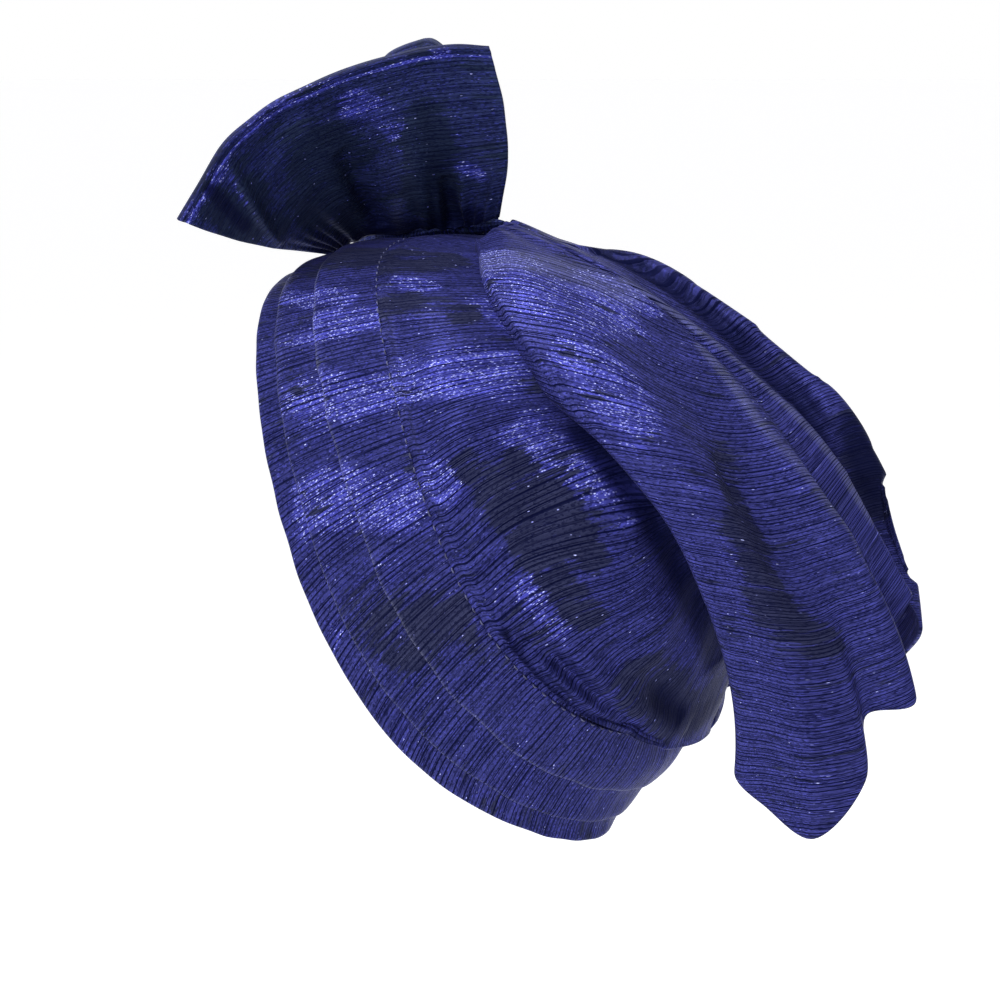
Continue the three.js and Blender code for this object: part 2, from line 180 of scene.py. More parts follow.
# One row per fold of a bow fan, front to back: its foot in the gathers, its end at the hem, and
# how far it swells and sags between them.
FAN_LEFT = [
    {"base": [-12, -76, 81], "hem": [60, -90, 94.8], "belly": 1, "sag": 2.5},
    {"base": [-11, -70, 83.6], "hem": [56.3, -73, 121], "belly": 4, "sag": 1},
    {"base": [-9, -60, 87.6], "hem": [46, -60, 134.7], "belly": 7, "sag": 0},
    {"base": [-12, -50, 88.6], "hem": [32, -44, 144.5], "belly": 1, "sag": 0},
    {"base": [-8, -36, 90.4], "hem": [21, -26.5, 151], "belly": 8, "sag": 0},
    {"base": [-12, -24, 91], "hem": [13, -13.5, 153.8], "belly": 2, "sag": 0},
    {"base": [-6, -5, 95.5], "hem": [5, -1.2, 153.5], "belly": 5, "sag": 0},
]
FAN_RIGHT = [
    {"base": [-22, -72, 79.6], "hem": [-62, -100, 98], "belly": 1, "sag": 2.5},
    {"base": [-23, -66, 82.5], "hem": [-58, -90, 126.5], "belly": 4, "sag": 1},
    {"base": [-26, -57, 83.8], "hem": [-48, -80, 143.2], "belly": 7, "sag": 0},
    {"base": [-22, -48, 85.7], "hem": [-36, -68, 150.7], "belly": 2, "sag": 0},
    {"base": [-26, -36, 86.6], "hem": [-28, -52, 155], "belly": 7, "sag": 0},
    {"base": [-22, -26, 88], "hem": [-22, -40, 156], "belly": 3, "sag": 0},
    {"base": [-24, -15, 88.2], "hem": [-18, -30, 150], "belly": 5, "sag": 0},
]
FAN_WALL = 1.2
FAN_ACROSS = 200
FAN_ALONG = 110
# How a fold swells outward and back, and the bulge of the rear folds.
FAN_SWELL = {"outward": 0.75, "back": 0.5, "reach": 1.15, "bias": 0.8}
FAN_REAR_BULGE = {"depth": 5, "from": 0.75, "to": 1}
# Gathers at the foot: height, number across, how unevenly they lie and where they run out.
FAN_GATHERS = {"height": 0.5, "count": 70, "uneven": 9, "drift": 7, "from": 0.02, "to": 0.4}
# The groove of the stitched hem, the line of painted glints with less painted shade beside it, and
# the painted sheen on the edge.
FAN_HEM = {"place": 0.95, "height": -0.45, "width": 0.012}
FAN_STITCHED = {"place": 0.938, "width": 0.009, "glint": 1.3, "shade": -1.5}
FAN_SHEEN_LINE = {"strength": 0.8, "width": 0.012}

# The knot: its ends [y, z], radius, blunt ends, lengthwise ridges and steps.
KNOT = {"x": -17, "front": [-63, 87.8], "back": [-8, 93], "radius": 2.8, "blunt": 0.0004,
        "ridges": 9, "ridge": 0.05, "twist": 3, "steps": 60, "sides": 48}
KNOT_CLOTH_LENGTH = 0.06

# Stitches of the seam: loop row and height over it, length and pitch as angles, thickness, how
# their ends sink and taper, and their steps.
STITCH = {"place": 3.05, "offset": 0.2, "length": 0.026, "pitch": 0.05, "radius": 0.27,
          "sink": 0.5, "taper": 0.96, "rings": 7, "sides": 8}

# Folds pressed into a cloth: how far they stand out, their width, and the points they run by.
FOLDS = {
    "crown": {
        "valley along the seam": {"height": -3.4, "width": 3.0, "points": [
            [70.9, 46.2, -33.9], [60.4, 54.1, -49.1], [48.5, 61, -61.5], [33.9, 67.4, -70.5],
            [14, 71.5, -75.5]]},
        "second valley": {"height": -4.4, "width": 3.2, "points": [
            [70, 47, -34], [62.6, 54.3, -41.7], [57.2, 58.7, -45.3], [48.9, 63.2, -54.1],
            [37.8, 68, -63.7], [26.9, 71, -71.2]]},
        "fold between them": {"height": 3.0, "width": 2.6, "points": [
            [66, 51.5, -39], [56.5, 57, -50], [44.5, 64.5, -60.5], [30, 69.5, -69.5]]},
        "bulge over the nape": {"height": 3.0, "width": 6, "points": [
            [58, 63, -40], [45, 69, -55], [26, 74, -66], [6, 76.5, -72]]},
        "hollow at the nape": {"height": -2.2, "width": 4.5, "points": [
            [34, 76.5, -47], [24.2, 77.5, -58], [11.8, 78, -66]]},
        "valley under the drape edge": {"height": -4, "width": 8, "points": [
            [63, 44, 44], [58, 57, 38], [54, 71, 26], [47, 82.7, 10], [39, 89, -6], [25, 92.4, -27],
            [4.7, 88.4, -48]]},
        "nape drawn in": {"height": -5, "width": 5, "points": [[-17, 76, -70.5], [-25, 73.5, -68.5]]},
        "lip behind the nape": {"height": 9, "width": 5, "points": [[-29, 76, -62], [-31, 78, -56]]},
        "pucker at the seam": {"height": -0.9, "width": 1.6, "points": [[69.6, -0.6, 55.3], [72, 4, 54.5]]},
    },
    "drape": {
        "valley behind the first ridge": {"height": -1.2, "width": 4, "points": [
            [5, 55, 77.5], [2, 73, 66.5], [-2, 92, 52], [-4, 108, 37], [-4, 124, 19]]},
        "far valley": {"height": -2, "width": 4, "points": [
            [-3.7, 37.1, 85.7], [-4.7, 55.9, 77.9], [-7.6, 73.3, 68.4], [-10.2, 90.8, 53.9],
            [-14.4, 107.4, 37.8], [-13, 124.7, 19.2], [-18.9, 131.3, 5.6]]},
        "far shoulder": {"height": 1.3, "width": 11, "points": [
            [-22, 112, 43], [-22, 120, 35], [-22.7, 129, 23]]},
        "flat below the shoulder": {"height": -6, "width": 13, "points": [
            [-25, 133, 14], [-23, 137.5, 2], [-22.8, 141, -8], [-24, 145, -22]]},
        "dip of the far side": {"height": -1.7, "width": 12, "points": [
            [-13, 90, 61], [-15.1, 99.4, 53.9], [-19, 110, 44]]},
        "rise near the top": {"height": 1.2, "width": 12, "points": [
            [-4, 38, 86], [-6.1, 51.1, 82], [-7.6, 68, 74]]},
        "ridge of the back": {"height": 1.1, "width": 3, "points": [
            [9.5, 83, 56.4], [11.6, 96.3, 44.3], [13.5, 106.6, 33.2], [12.3, 120.4, 19.5],
            [10.3, 132.2, 4.4], [6.1, 137.3, -4.5], [-2.7, 141.5, -14.8]]},
        "ridge of the top": {"height": 1.1, "width": 3, "points": [
            [11.1, 54.3, 76.9], [4.7, 72.8, 65.6], [-1.3, 95.8, 48.7], [-5.5, 118.9, 26.5],
            [-6.7, 139.4, 0.3]]},
        "crease across the tail": {"height": -1, "width": 1.8, "points": [
            [30.3, 124.9, -80.9], [30.3, 132.1, -78.4], [23.9, 141.6, -85.1]]},
        "second crease of the tail": {"height": -1, "width": 2, "points": [
            [30.3, 132.1, -78.4], [26.8, 139.4, -75], [21.2, 145.4, -70.6]]},
        "fold up from the tail": {"height": 1.3, "width": 3, "points": [
            [17.8, 147.6, -59.7], [23.2, 142.7, -59.1], [29.5, 137.1, -60.3]]},
        "soft crease of the lobe": {"height": -1, "width": 2.4, "points": [
            [30.5, 100.7, 24.6], [31.9, 106.9, 15.3], [34, 112, 7]]},
        "second crease of the lobe": {"height": -0.8, "width": 2.2, "points": [
            [36, 96, 25], [38, 101, 16], [40, 106, 8]]},
    },
    "bow_left": {
        "front valley": {"height": -3.4, "width": 3.4, "points": [
            [-8, -53, 91], [-2.9, -52.6, 95.9], [6.9, -52.2, 104.4], [19.7, -51.8, 118.4]]},
        "rear valley": {"height": -3.2, "width": 3, "points": [
            [-11.9, -25.7, 90.8], [-8.8, -24.5, 96], [-6.5, -24.3, 101], [-2, -22, 110]]},
        "ridge behind it": {"height": 2.0, "width": 2.6, "points": [
            [-10, -20, 93], [-6, -19, 101], [-1, -16, 112]]},
        "crease to the tip": {"height": 1.8, "width": 2, "points": [
            [52, -75.4, 117], [43.7, -76.4, 108.4], [30.4, -77.6, 96.2], [15.4, -79.8, 85.3]]},
    },
}

# Where light and shade are painted on the cloth: painted shadow deep in folds and against the parts
# over it, painted shade, painted glints and a painted sheen on edges and ridges. Each patch has its
# width, and the points it runs by or the fold it lies along.
PATCHES = {
    ("crown", "painted_shadow"): [
        {"width": 6, "points": [
            [56, 66, 31], [54, 71, 26], [47, 82.7, 10], [39, 89, -6], [25, 92.4, -27], [4.7, 88.4, -48]]},
        {"width": 1.8, "fold": "valley along the seam"},
        {"width": 2, "points": [
            [62.6, 54.3, -41.7], [57.2, 58.7, -45.3], [48.9, 63.2, -54.1], [37.8, 68, -63.7]]},
        {"width": 5, "points": [[24, 77, -59], [12, 77, -68], [-8, 78, -66], [-20, 76, -66]]},
    ],
    ("crown", "shade"): [
        {"width": 7, "points": [
            [81, 38, 22], [77, 47, 10], [70, 56, -4], [59.6, 63.9, -23.6], [54, 68, -29]]},
        {"width": 6, "points": [[72, 52, 19], [65, 63, 6], [58, 70, -10]]},
        {"width": 10, "points": [[32, 76, -52], [24, 77, -59], [12, 77, -68], [0, 80, -64], [-8, 83, -55]]},
        {"width": 9, "points": [[36, -22, 83], [37.8, -15.6, 83.5], [39, 0.9, 82.7]]},
        {"width": 6, "points": [[60, -20, 68], [60, 0, 68], [58, 22, 67]]},
    ],
    ("crown", "glint"): [
        {"width": 3, "points": [[52, -8, 76], [55, 8, 75]]},
        {"width": 9, "points": [[78, 10, 46], [74, 28, 48], [66, 41, 48]]},
        {"width": 7, "points": [[83, 25, 18], [82.7, 32.7, 12.5]]},
        {"width": 9, "points": [[68, 53.6, 28.3], [60, 67.5, 19], [50, 80, 9]]},
        {"width": 5, "points": [[68.6, 54, -20], [60, 60, -33]]},
        {"width": 6, "points": [[52.5, 25, 70], [52, 35, 66]]},
    ],
    ("tier", "painted_shadow"): [
        {"width": 1.5, "points": [[68, 45, -37], [60.4, 53.1, -51], [48.5, 60, -63], [33.9, 66.4, -72]]},
    ],
    ("tier", "shade"): [
        {"width": 9, "points": [[30, -61, 76], [31, -45, 82], [31, -34, 83], [34, -22, 83]]},
        {"width": 12, "points": [[74, 5, -38], [72, 25, -28]]},
    ],
    ("tier", "glint"): [
        {"width": 4, "points": [[46, -55, 69], [52, -38, 71], [53.9, -24.8, 70]]},
        {"width": 6, "points": [[66, -45, 60], [60, -10, 65]]},
        {"width": 9, "points": [[76, -30, 40], [78, 2, 40]]},
        {"width": 11, "points": [[78, -22, 5], [82, 12, 8]]},
    ],
    ("tier", "edge"): [
        {"width": 6, "points": [[20, 68, -92], [0, 70, -90], [-14, 70, -88]]},
    ],
    ("drape", "painted_shadow"): [
        {"width": 4, "fold": "far valley"},
        {"width": 6, "points": [[-22, 122, 28], [-21, 132, 10], [-20, 138, -4]]},
    ],
    ("drape", "shade"): [
        {"width": 7, "points": [
            [29.8, 105, 18.3], [35.3, 114.4, 3.1], [37.1, 122.7, -15.4], [32.4, 129.3, -28.4],
            [21.8, 138.1, -35.5]]},
        {"width": 8, "points": [[-25, 118, 30], [-25, 130, 5]]},
    ],
    ("drape", "glint"): [
        {"width": 13, "points": [[38, 18, 82], [40, 32.5, 79], [41, 48.8, 71.6], [32.4, 58.6, 68.2]]},
        {"width": 6, "points": [[22, 48, 80], [14, 66, 70]]},
        {"width": 9, "points": [[49.8, 83.8, 34.8], [51.2, 62.3, 56.5]]},
    ],
    ("drape", "edge"): [
        {"width": 8, "points": [[36, 18, 84], [26, 36, 83], [18, 60, 77]]},
        {"width": 1.8, "fold": "ridge of the top"},
        {"width": 1.8, "points": [
            [9.5, 83, 56.4], [11.6, 96.3, 44.3], [13.5, 106.6, 33.2], [12.3, 120.4, 19.5],
            [10.3, 132.2, 4.4], [6.1, 137.3, -4.5]]},
    ],
    ("bow_left", "painted_shadow"): [
        {"width": 6, "points": [[-12, -70, 86], [-9, -52, 90], [-10, -36, 92], [-10, -15, 94]]},
        {"width": 3, "points": [[-8, -53, 91], [-2.9, -52.6, 95.9], [6.9, -52.2, 104.4]]},
        {"width": 2.6, "points": [[-11.9, -25.7, 90.8], [-8.8, -24.5, 96], [-5, -23.5, 103]]},
        {"width": 2.4, "points": [[54, -82, 106], [46, -81, 100], [34, -81, 92]]},
    ],
    ("bow_left", "shade"): [
        {"width": 6, "points": [[55, -83, 104], [44, -81, 97], [30, -80, 88]]},
        {"width": 5, "points": [[48, -72, 112], [36, -72, 100], [22, -73, 90]]},
        {"width": 14, "points": [[10, -60, 95], [25, -55, 112]]},
        {"width": 9, "points": [[0, -28, 98], [10, -22, 125]]},
    ],
    ("bow_left", "glint"): [
        {"width": 2, "points": [[52, -76, 113], [40.5, -76.6, 103.3], [25.9, -78.7, 90.8]]},
        {"width": 3, "points": [[4, -20, 118], [-1.8, -17.1, 113.3], [-2.5, -9.5, 110.1]]},
        {"width": 7, "points": [[22.4, -43.7, 133.7], [15.7, -34, 128.7], [10.3, -25.5, 120]]},
        {"width": 6, "points": [[58, -86, 98], [54, -80, 110]]},
        {"width": 2.5, "points": [
            [56, -73, 121], [46, -60, 133.5], [32, -44, 142], [21, -26.5, 149], [13, -13.5, 151.5]]},
    ],
}

CAMERA = {"azimuth": 122, "elevation": 6, "distance": 1.5, "target": (0, 0.004, -0.088),
          "field": 0.34, "sensor": 36}
# The pale floor, with a faint glow, and the sky, whose strength falls from low to high.
FLOOR = {"height": -0.42, "half": 60.0, "colour": (0.93, 0.93, 0.94, 1), "roughness": 0.9,
         "glow": 0.27}
SKY = {"heights": (0.15, 0.75), "strengths": (1.0, 0.7)}
LIGHT_AIM = (0, 0, -0.08)
LIGHTS = [
    {"name": "overhead", "place": (0.5, -0.2, 1.5), "size": (1.0, 1.0), "power": 24},
    {"name": "camera side", "place": (1.5, 0.1, 0.7), "size": (0.7, 1.0), "power": 12},
    {"name": "front", "place": (0.4, -1.6, 0.6), "size": (0.6, 0.9), "power": 7},
]


def mix(a, b, k):
    return a + (b - a) * k


def rise(low, high, v):
    k = np.clip((np.asarray(v, float) - low) / (high - low), 0, 1)
    return k * k * (3 - 2 * k)


def bump(v, centre, spread):
    return np.exp(-(((v - centre) / spread) ** 2))


def to_metres(points):
    """Points of the tables as metres from the seat."""
    return (points - SEAT) * MM


def from_front(t):
    """Angle round the cap, counted both ways from the middle of the front."""
    return np.minimum(t, TAU - t)


def unit(vectors):
    return vectors / np.maximum(np.linalg.norm(vectors, axis=-1, keepdims=True), 1e-9)


def through(values, place, stops=None):
    """Smooth curve through values, the first axis being the stops, at each place."""
    place = np.asarray(place, float)
    values = np.asarray(values, float)
    last = len(values) - 1
    stops = np.arange(last + 1.0) if stops is None else np.asarray(stops, float)
    if values.ndim == 1:
        values = values.reshape((-1,) + (1,) * place.ndim)
    values = np.broadcast_to(values, (last + 1,) + place.shape)
    n = np.clip(np.searchsorted(stops, place, side="right") - 1, 0, last - 1)

    def pick(i):
        return np.take_along_axis(values, i[None], axis=0)[0]

    def slope(i):
        before, after = np.maximum(i - 1, 0), np.minimum(i + 1, last)
        return (pick(after) - pick(before)) / (stops[after] - stops[before])

    step = stops[n + 1] - stops[n]
    k = (place - stops[n]) / step
    bend = slope(n) * step * (k**3 - 2 * k**2 + k) + slope(n + 1) * step * (k**3 - k**2)
    return mix(pick(n), pick(n + 1), 3 * k**2 - 2 * k**3) + bend


def ripples(a, b, seed, count=9):
    """Soft irregular waves from about -1 to 1, a and b counted in wavelengths."""
    chance = np.random.default_rng(seed)
    total = 0
    for _ in range(count):
        heading = chance.uniform(0, TAU)
        pitch = chance.uniform(0.6, 1.5)
        phase = chance.uniform(0, TAU)
        total = total + np.sin(TAU * pitch * (a * math.cos(heading) + b * math.sin(heading)) + phase)
    return total / math.sqrt(count)


def softness(name, a, b, shift=0):
    kind = SOFTNESS[name]
    first, second = kind["waves"]
    return kind["height"] * ripples(a * first, b * second, kind["seed"] + shift)


def nearest(points, line):
    """Distance of each point from a line of points, and its share of the way along it."""
    line = np.asarray(line, float)
    best = np.full(points.shape[:-1], np.inf)
    share = np.zeros(points.shape[:-1])
    for i, (a, b) in enumerate(zip(line[:-1], line[1:])):
        k = np.clip(((points - a) @ (b - a)) / max((b - a) @ (b - a), 1e-9), 0, 1)
        away = np.linalg.norm(points - a - k[..., None] * (b - a), axis=-1)
        closer = away < best
        best = np.where(closer, away, best)
        share = np.where(closer, (i + k) / (len(line) - 1), share)
    return best, share


def folded(points, normals, piece):
    """The points with the piece's folds pressed into them."""
    height = np.zeros(points.shape[:-1])
    for fold in FOLDS.get(piece, {}).values():
        away, share = nearest(points, fold["points"])
        taper = np.clip(4 * share * (1 - share), 0, 1) ** 0.5
        height += fold["height"] * taper * bump(away, 0, fold["width"])
    return points + normals * height[..., None]


def patch_fields(points, piece):
    """How much painted shade, painted glint, painted sheen and painted shadow deep in a fold the cloth has
    at each point.
    """
    fields = {name: np.zeros(points.shape[:-1]) for name in ("shade", "glint", "painted_shadow", "edge")}
    for name in fields:
        for patch in PATCHES.get((piece, name), []):
            run = patch if "points" in patch else FOLDS[piece][patch["fold"]]
            away, _ = nearest(points, run["points"])
            here = 1 - rise(0.5, 1.5, away / patch["width"])
            fields[name] = np.maximum(fields[name], here)
    return fields


def loop_point(n, t):
    top_y, top_z, nape_y, nape_z, width, side, turn, egg = np.moveaxis(LOOPS[n], -1, 0)
    up_y, up_z = (top_y - nape_y) / 2, (top_z - nape_z) / 2
    length = np.maximum(np.hypot(up_y, up_z), 1e-6)
    s, c = np.sin(t), np.cos(t)
    shift = -(side + turn * c) * s * s
    y = (top_y + nape_y) / 2 + up_y * c + up_z / length * shift
    z = (top_z + nape_z) / 2 + up_z * c - up_y / length * shift
    return np.stack([width * s * (1 + egg * c), y, z], -1)


def loop_row(n, t):
    beyond = n > APEX_ROW
    row = np.clip(np.where(beyond, 2 * APEX_ROW - n, n), 0, APEX_ROW)
    here = loop_point(row, np.where(beyond, t + math.pi, t))
    before = 2 * loop_point(np.zeros_like(n), t) - loop_point(np.ones_like(n), t)
    return np.where((n < 0)[..., None], before, here)


def cap_surface(t, place):
    """The smooth surface through all loops, place counted in loop rows."""
    t, place = np.broadcast_arrays(np.asarray(t, float), np.asarray(place, float))
    i = np.clip(np.floor(place).astype(int), 0, APEX_ROW - 1)
    a, b, c, d = (loop_row(i + n, t) for n in (-1, 0, 1, 2))
    k = (place - i)[..., None]
    bend = (c - a) / 2 * (k**3 - 2 * k**2 + k) + (d - b) / 2 * (k**3 - k**2)
    return mix(b, c, 3 * k**2 - 2 * k**3) + bend


def off_cap(t, place, offset):
    d = 0.02
    along_t = cap_surface(t + d, place) - cap_surface(t - d, place)
    along_s = cap_surface(t, place + d) - cap_surface(t, place - d)
    return cap_surface(t, place) + unit(np.cross(along_t, along_s)) * offset[..., None]


def grid_normals(points):
    along_rows = np.gradient(points, axis=0)
    along_cols = np.gradient(points, axis=1)
    return unit(np.cross(along_cols, along_rows))


def run_length(points, axis=0):
    """Distance along a line of points, or along each row or column of a grid, from nought."""
    steps = np.linalg.norm(np.diff(points, axis=axis), axis=-1)
    start = np.zeros_like(np.take(steps, [0], axis=axis))
    return np.concatenate([start, np.cumsum(steps, axis=axis)], axis=axis)


def grid_mesh(name, points, cloth, wrap_rows=False, wrap_cols=False, wall_rows=0, fields=None):
    """A mesh of a grid of points in table millimetres. cloth holds the place of each point on
    the flat cloth, in metres, with one more row or column where the grid wraps round. wall_rows
    is the number of outer rows where the two side edges are closed."""
    rows, cols = points.shape[:2]
    i, j = np.indices((rows - (not wrap_rows), cols - (not wrap_cols))).reshape(2, -1)
    corners = [(i, j), (i, j + 1), (i + 1, j + 1), (i + 1, j)]
    if wall_rows:
        k = np.arange(wall_rows - 1)
        low, high = k * 0, k * 0 + cols - 1
        ahead, under, back = k + 1, 2 * wall_rows - 2 - k, 2 * wall_rows - 1 - k
        left = [(k, low), (ahead, low), (under, low), (back, low)]
        right = [(k, high), (back, high), (under, high), (ahead, high)]
        corners = [
            tuple(np.concatenate([a[n], b[n], c[n]]) for n in (0, 1))
            for a, b, c in zip(corners, left, right)
        ]
    faces = np.stack([(a % rows) * cols + b % cols for a, b in corners], 1)
    flat = np.stack([cloth[a, b] for a, b in corners], 1)
    mesh = bpy.data.meshes.new(name)
    mesh.from_pydata(to_metres(points).reshape(-1, 3).tolist(), [], faces.tolist())
    layer = mesh.uv_layers.new(name="cloth")
    layer.data.foreach_set("uv", flat.astype(np.float32).ravel())
    for field, values in (fields or {}).items():
        attribute = mesh.attributes.new(field, "FLOAT", "POINT")
        attribute.data.foreach_set("value", np.asarray(values, np.float32).ravel())
    return smooth_piece(mesh)


def smooth_piece(mesh):
    mesh.polygons.foreach_set("use_smooth", np.ones(len(mesh.polygons), bool))
    mesh.update()
    piece = bpy.data.objects.new(mesh.name, mesh)
    bpy.context.scene.collection.objects.link(piece)
    return piece


def add_detail(piece, node, material):
    piece.data.materials.append(material)
    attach(piece, "root")
    if node:
        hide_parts(node)
    return piece


def closed_grid(outer, inner):
    """Outer rows, then the inner rows back again, to be wrapped into a cloth with thickness."""
    return np.concatenate([outer, inner[::-1]])


def both_faces(cloth):
    return closed_grid(cloth, cloth)


def closed_cloth(cloth):
    """The flat places of both faces, and of the first row again, where the wall closes."""
    return np.concatenate([both_faces(cloth), cloth[:1]])


def nape_neck(t, place):
    """How far the cloth is drawn in along the seam at the nape."""
    round_nape = bump(t, NECK["turn"], NECK["spread"])
    return NECK["depth"] * round_nape * bump(place, NECK["place"], NECK["reach"])


def tier_stripes(tier, run):
    """Flat places of a tier's rows, its stripes leaning off the square at the sides."""
    along = both_faces(tier["start"] * TIER_SPACING + run)[:, None]
    turn = np.linspace(0, TAU, TIER_AROUND + 1)[None, :]
    below = rise(*AROUND["tier_lean"], from_front(turn))
    lean = np.sin(turn) * mix(TIER_LEAN["high"], TIER_LEAN["low"], below)
    across = turn * LOOP_RADIUS * MM - lean * along + tier["start"] * TIER_SHIFT
    return np.stack(np.broadcast_arrays(along, across), -1)


def make_tier(tier):
    t = np.linspace(0, TAU, TIER_AROUND, endpoint=False)[None, :]
    end = 1 + tier["tuck"] + TIER_OVERLAP
    s = (np.linspace(0, 1, TIER_STEPS) ** TIER_CROWDING * end)[:, None]
    middle_puff = TIER_PUFF["middle"] * np.maximum(0, np.cos(t)) ** 2
    puff = tier["puff"] * (TIER_PUFF["sides"] + middle_puff)
    sunk = rise(0.1, 1, s)
    outer = mix(puff, tier["rear"], sunk)
    inner = mix(TIER_LIP, tier["rear"] - TIER_WALL, sunk)
    nose = np.sqrt(1 - (1 - np.minimum(s / TIER_ROUND, 1)) ** 2)
    middle, half = (outer + inner) / 2, (outer - inner) / 2 * nose
    waver = softness("tier_edge", t, t, tier["start"]) * (1 - rise(0, 0.6, s))
    beside = rise(*AROUND["front"], from_front(t)) * (1 - rise(*AROUND["inset_end"], from_front(t)))
    place = tier["start"] + s + waver + tier["inset"] * beside * (1 - rise(0, 0.9, s))
    soft = softness("tier", t, s, tier["start"]) * rise(0, 0.3, s) - nape_neck(t, place)
    top = off_cap(t + s * 0, place, middle + half + soft)
    under = off_cap(t + s * 0, place, middle - half + soft)
    points = closed_grid(top, under[1:])
    cloth = tier_stripes(tier, run_length(top[:, TIER_AROUND // 4]) * MM)
    fields = patch_fields(points, "tier")
    # Painted sheen along the folded edge.
    edge = bump(s + 0 * t, TIER_SHEEN_LINE["place"], TIER_SHEEN_LINE["width"])
    fields["edge"] = closed_grid(edge, edge[1:])
    name = tier["name"] + "_cloth"
    return grid_mesh(name, points, cloth, wrap_rows=True, wrap_cols=True, fields=fields)


def crown_wave(name, place):
    wave = CROWN_WAVES[name]
    return wave["height"] * bump(place, wave["place"], wave["spread"])


def crown_offset(t, place):
    low = rise(*AROUND["low_side"], from_front(t))
    beside = low * (1 - rise(*AROUND["crease_end"], from_front(t)))
    waves = crown_wave("roll", place) * low + crown_wave("crease", place) * beside
    tucked = CROWN_TUCK["depth"] * (1 - rise(CROWN_TUCK["from"], CROWN_TUCK["to"], place))
    uneven = PUCKERS["uneven"] * np.sin(t * PUCKERS["drift"])
    pucker = np.sin(t * PUCKERS["count"] + uneven) * crown_wave("pucker", place)
    soft = softness("crown", t, place) * rise(*CROWN_SOFT, place)
    return waves - tucked + pucker + soft - nape_neck(t, place)


def crown_stripes(run):
    """Flat places of the crown's rows, its stripes bending level behind the seam."""
    along = run[:, None]
    turn = np.linspace(0, TAU, CROWN_AROUND + 1)[None, :]
    before_nape = 1 - rise(*AROUND["nape"], from_front(turn))
    low = rise(*AROUND["bend_start"], from_front(turn)) * before_nape
    steady = STRIPE_BEND["steady"] * rise(*AROUND["front"], from_front(turn)) * before_nape
    after = STRIPE_BEND["after"]
    level = along - after * (1 - np.exp(-along / after))
    near = STRIPE_BEND["near"] * rise(*AROUND["near_start"], from_front(turn)) * (along - level)
    bend = (steady * along + near + STRIPE_BEND["low"] * low * level) * np.sign(math.pi - turn)
    across = turn * LOOP_RADIUS * MM - bend
    return np.stack(np.broadcast_arrays(along + CROWN_CLOTH_START, across), -1)


def make_crown():
    t = np.linspace(0, TAU, CROWN_AROUND, endpoint=False)[None, :]
    k = np.linspace(0, 1, CROWN_ALONG)[:, None]
    place = mix(CROWN_FIRST, CROWN_LAST, k**CROWN_CROWDING)
    t, place = t + place * 0, place + t * 0
    offset = crown_offset(t, place)
    outer = off_cap(t, place, offset)
    normals = unit(outer - off_cap(t, place, offset - 1))
    outer = folded(outer, normals, "crown")
    points = closed_grid(outer, outer - normals * CROWN_WALL)
    cloth = closed_cloth(crown_stripes(run_length(outer[:, CROWN_AROUND // 4]) * MM))
    fields = patch_fields(points, "crown")
    return grid_mesh("crown_cloth", points, cloth, wrap_rows=True, wrap_cols=True, fields=fields)


def drape_point(u, v):
    u, v = np.broadcast_arrays(np.asarray(u, float), np.asarray(v, float))
    row = u * (len(DRAPE) - 1)
    across = through([through(line["across"], v, DRAPE_STOPS) for line in DRAPE], row)
    reach = through([through(line["reach"], v, DRAPE_STOPS) for line in DRAPE], row)
    end = through([line["to"] for line in DRAPE], row)
    angle = np.radians(mix(DRAPE_START, end, v))
    y = DRAPE_CENTRE["y"] + reach * np.cos(angle)
    z = DRAPE_CENTRE["z"] + reach * np.sin(angle)
    return np.stack([across, y, z], -1)


def rolled(points, normals, v, first):
    """Columns that roll the cloth under along its first or last column."""
    edge, near = (0, 1) if first else (-1, -2)
    outward = unit(points[:, edge] - points[:, near])[:, None]
    free = rise(DRAPE_ROLL["from"], DRAPE_ROLL["to"], v)
    radius, degrees = (mix(DRAPE_ROLL["laid"][i], DRAPE_ROLL["free"][i], free) for i in (0, 1))
    turn = np.radians(degrees) * np.linspace(0, 1, DRAPE_ROLL["steps"] + 1)[None, 1:]
    side = points[:, edge, None] + outward * (radius * np.sin(turn))[..., None]
    roll = side - normals[:, edge, None] * (radius * (1 - np.cos(turn)))[..., None]
    return roll[:, ::-1] if first else roll


def drape_stripes(outer, v):
    """Flat places of the drape's rows, its stripes crossing it at the lean of each stop."""
    length = run_length(outer, 0) * MM
    width = run_length(outer, 1) * MM
    on_roll = np.minimum(0, width - width[:, [DRAPE_ROLL["steps"]]])
    laid = 1 - rise(DRAPE_ROLL["from"], DRAPE_ROLL["to"], v)
    width = width - width[:, [int(DRAPE_LEAN_FROM * outer.shape[1])]]
    beyond = np.maximum(0, width - DRAPE_LEAN_REACH)
    width = width - beyond + DRAPE_LEAN_EASE * np.tanh(beyond / DRAPE_LEAN_EASE)
    width = width + on_roll * DRAPE_ROLL["lean"] * laid
    lean = through(DRAPE_LEAN, v, DRAPE_STOPS)
    scale = np.sqrt(1 + lean**2)
    return np.stack([(lean * length + width) / scale, (length - lean * width) / scale], -1)


